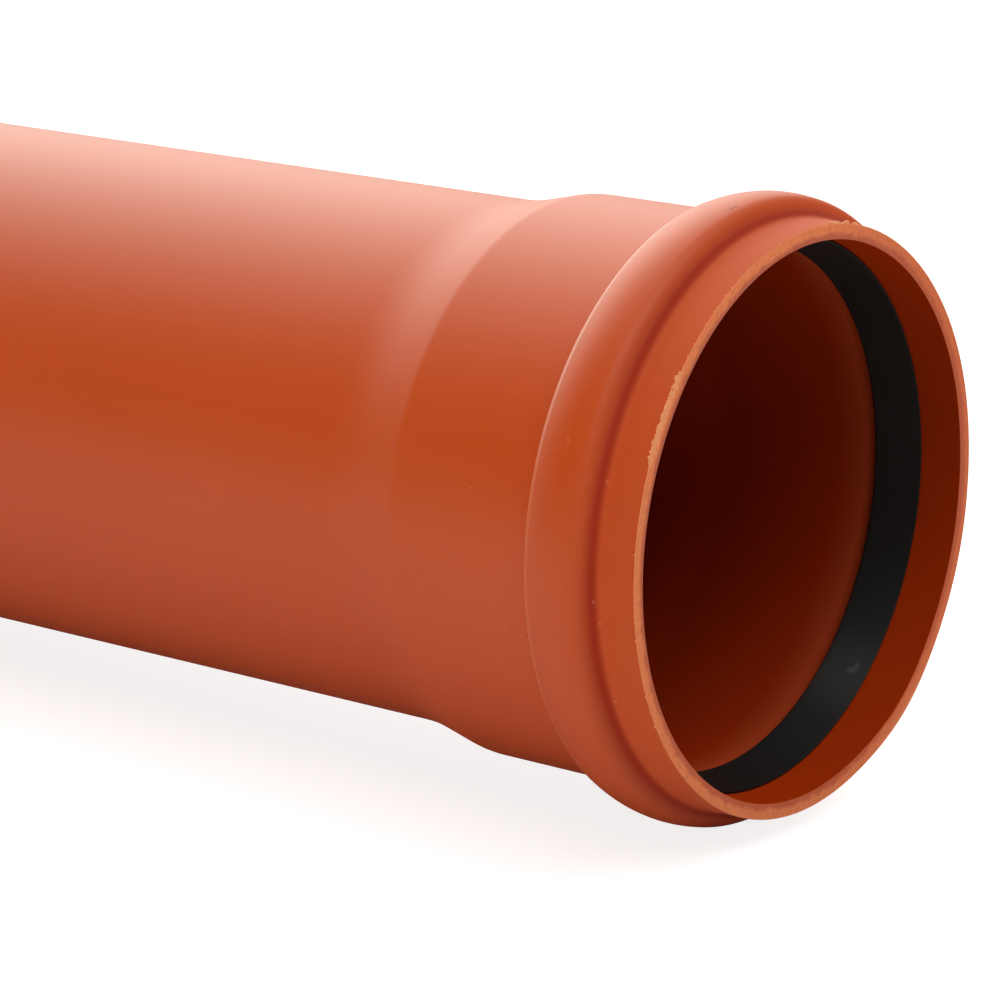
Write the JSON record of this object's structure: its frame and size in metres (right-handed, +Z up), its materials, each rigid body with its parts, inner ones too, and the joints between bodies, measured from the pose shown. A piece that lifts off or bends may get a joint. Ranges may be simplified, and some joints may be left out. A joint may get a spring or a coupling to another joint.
{
  "type": "pvc sewer pipe",
  "caption": "Straight orange-brown rigid plastic sewer pipe with a formed push-fit socket, a bead at its mouth and a black rubber lip ring in the bead's groove.",
  "frame": {"origin": "on the floor under the middle of the pipe", "axes": "+X along the pipe towards the mouth of its socket, +Z up, +Y across the pipe"},
  "size_m": [0.5677, 0.1278, 0.1278],
  "materials": {
    "pvc": "satin, orange-brown, extruded",
    "seal": "matt black, moulded"
  },
  "bodies": {
    "root": {"pipe": "pvc", "sealing_ring": "seal"}
  },
  "joints": []
}
